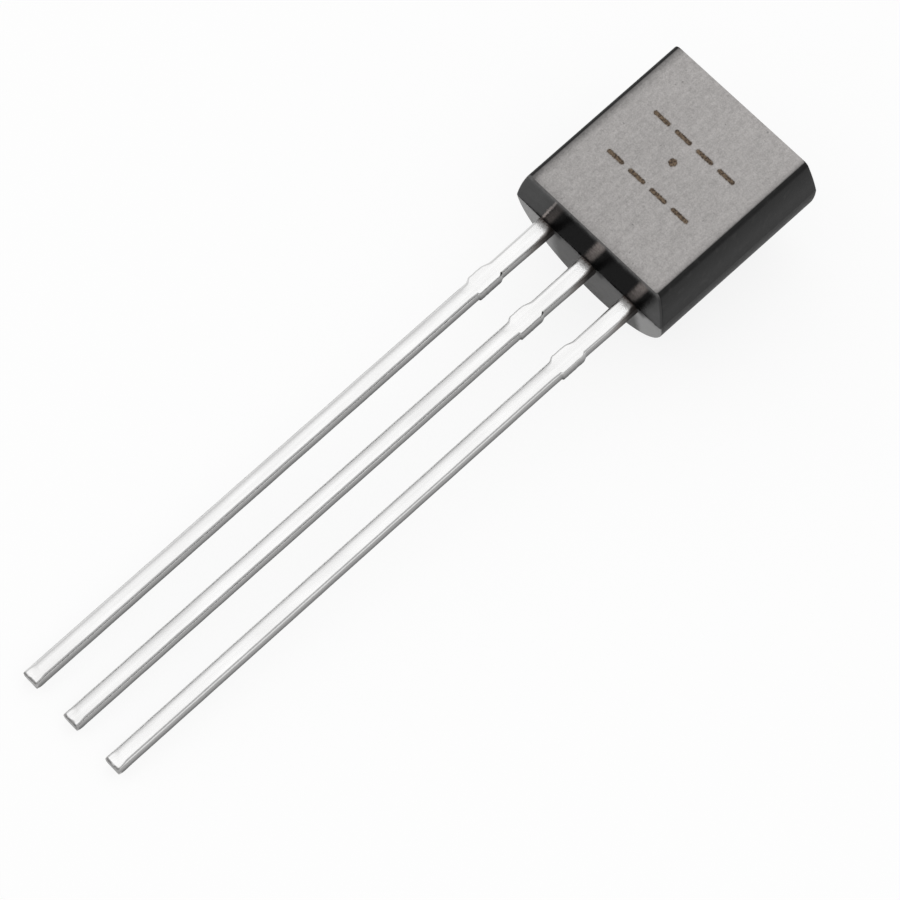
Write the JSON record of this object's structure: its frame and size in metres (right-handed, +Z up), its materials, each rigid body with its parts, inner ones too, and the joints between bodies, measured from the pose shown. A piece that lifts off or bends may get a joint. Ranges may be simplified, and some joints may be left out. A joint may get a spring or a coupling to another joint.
{
  "type": "to-92 transistor",
  "caption": "Small through-hole transistor: a dark D-shaped plastic case with a flat marked face and tinned leads in a row.",
  "frame": {"origin": "middle of the bounding box's underside, on the bench that the part lies on", "axes": "+Z up, with the flat face looking up; +Y along the part from the lead ends to the case, level with the bench; +X across the leads from the emitter to the base"},
  "size_m": [0.0044, 0.0192, 0.0037],
  "materials": {
    "case_epoxy": "dark moulding compound, matte grey-dusted flat and smoother sides",
    "tinned_lead": "bright tin plating over a stamped strip",
    "silicon": "polished die",
    "bond_gold": "drawn fine wire"
  },
  "bodies": {
    "root": {"case": "case_epoxy", "emitter_lead": "tinned_lead", "collector_lead": "tinned_lead", "base_lead": "tinned_lead", "die": "silicon", "emitter_wire": "bond_gold", "base_wire": "bond_gold"}
  },
  "joints": []
}
